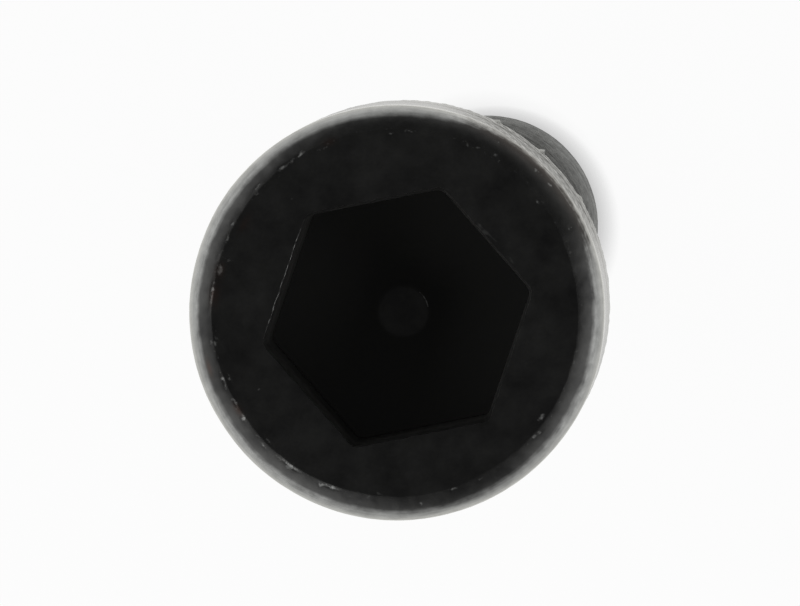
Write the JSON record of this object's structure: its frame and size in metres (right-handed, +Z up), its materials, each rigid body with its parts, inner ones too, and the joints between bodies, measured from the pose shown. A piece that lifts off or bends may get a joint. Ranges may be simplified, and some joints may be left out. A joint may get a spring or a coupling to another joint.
{
  "type": "socket head cap screw",
  "caption": "Long cap screw with a cylindrical head, a hexagon socket, a plain shank and a threaded end, for clamping machine parts together.",
  "frame": {"origin": "centre of the flat end face, which the screw stands on", "axes": "+Z up the screw's axis from the threaded end to the head; +X through a corner of the hexagon socket"},
  "size_m": [0.018, 0.018, 0.132],
  "materials": {
    "black_oxide_steel": "black oxide on cold-forged alloy steel, lightly oiled, satin"
  },
  "bodies": {
    "root": {"cap_screw": "black_oxide_steel"}
  },
  "joints": []
}
